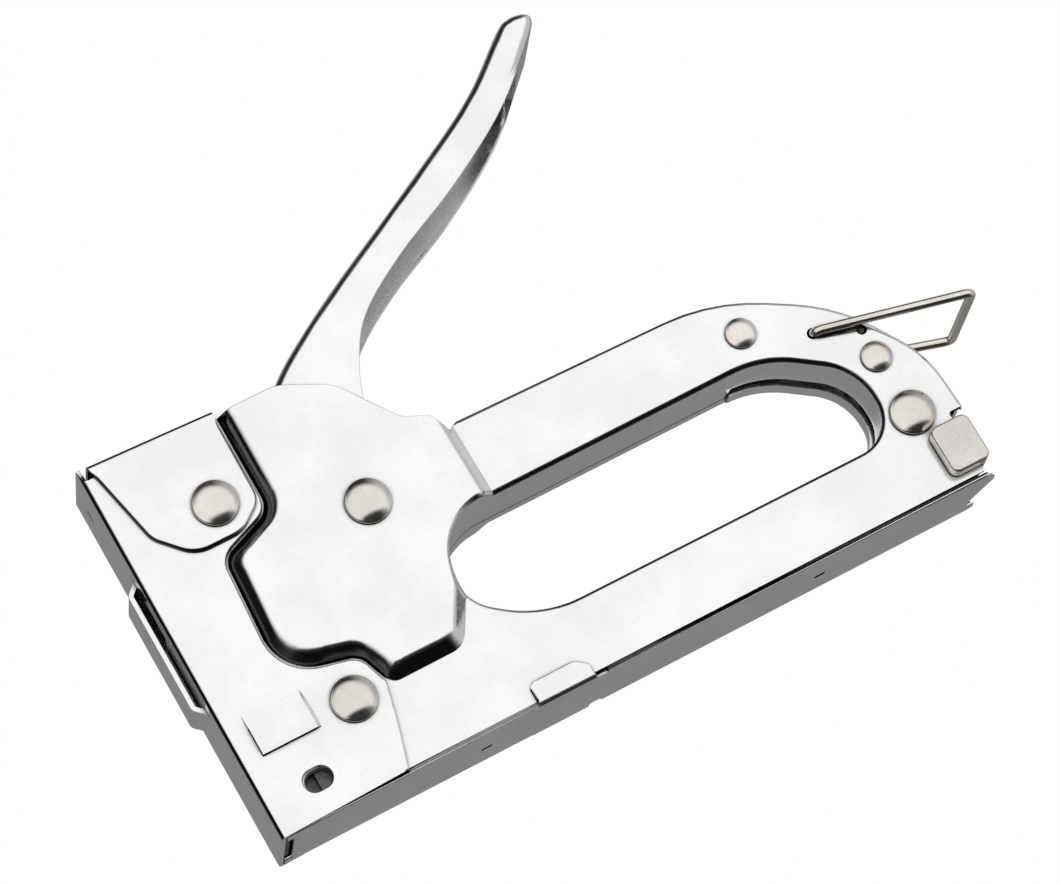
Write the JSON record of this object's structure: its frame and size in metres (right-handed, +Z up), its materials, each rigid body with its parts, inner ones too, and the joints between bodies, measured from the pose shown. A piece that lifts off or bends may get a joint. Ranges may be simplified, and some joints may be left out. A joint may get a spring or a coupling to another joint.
{
  "type": "hand staple gun",
  "caption": "Hand staple gun of folded plated steel with a squeeze lever, a finger loop, a spring-driven striker, a pull-out staple rail and a wire bail that locks the lever.",
  "frame": {"origin": "middle of the base plate's flat underside", "axes": "+X from the nose to the heel, +Y to the tool's right with the nose forward, +Z up through the lever"},
  "size_m": [0.178, 0.0296, 0.1309],
  "materials": {
    "plated_steel": "polished plated steel sheet",
    "nickel": "nickel plate, slightly warm",
    "spring_steel": "drawn spring wire",
    "hard_steel": "hardened steel, lightly oiled",
    "rubber": "moulded rubber"
  },
  "bodies": {
    "casing": {"left_side_shell": "plated_steel", "right_side_shell": "plated_steel", "nose_shell": "plated_steel", "top_cap": "plated_steel", "base_plate": "plated_steel", "magazine_channel": "hard_steel", "nose_guide": "hard_steel", "heel_stiffener": "plated_steel", "rivet_top": "nickel", "rivet_lever_pivot": "nickel", "rivet_nose": "nickel", "rivet_grip": "nickel", "rivet_heel_upper": "nickel", "rivet_heel_lower": "nickel", "spacer_nose": "hard_steel", "spacer_grip": "hard_steel", "spacer_heel_upper": "hard_steel", "spacer_heel_lower": "hard_steel", "stop_pin": "hard_steel", "spring_seat": "hard_steel", "main_spring": "spring_steel", "bumper": "rubber"},
    "squeeze_lever": {"lever": "plated_steel", "lifter": "hard_steel", "lever_pin": "hard_steel", "lever_spring": "spring_steel"},
    "hammer": {"hammer": "hard_steel", "hammer_pin": "hard_steel", "striker_blade": "hard_steel"},
    "rail": {"staple_rail": "hard_steel", "rear_clip": "nickel", "pusher_rod": "hard_steel", "pusher_spring": "spring_steel"},
    "pusher": {"pusher": "hard_steel"},
    "bail": {"bail": "nickel"}
  },
  "joints": [
    {"name": "lever_hinge", "type": "hinge", "parent": "casing", "child": "squeeze_lever", "pos_m": [-0.03255, 0, 0.0516], "axis": [0, 1, 0], "range_deg": [0, 33], "stiffness_Nm_per_rad": 0.3, "springref_deg": -28.65},
    {"name": "hammer_slide", "type": "slide", "parent": "casing", "child": "hammer", "axis": [0, 0, 1], "range_m": [0, 0.01879], "deforming": ["main_spring"]},
    {"name": "rail_slide", "type": "slide", "parent": "casing", "child": "rail", "axis": [1, 0, 0], "range_m": [0, 0.11]},
    {"name": "pusher_slide", "type": "slide", "parent": "rail", "child": "pusher", "axis": [1, 0, 0], "range_m": [0, 0.09], "stiffness_N_per_m": 12, "springref_m": -0.05},
    {"name": "bail_hinge", "type": "hinge", "parent": "casing", "child": "bail", "pos_m": [0.06375, 0, 0.0423], "axis": [0, -1, 0], "range_deg": [-10, 75]}
  ],
  "couplings": [
    {"joint": "hammer_slide", "follows": "lever_hinge", "m_per_rad": 0.032546}
  ]
}
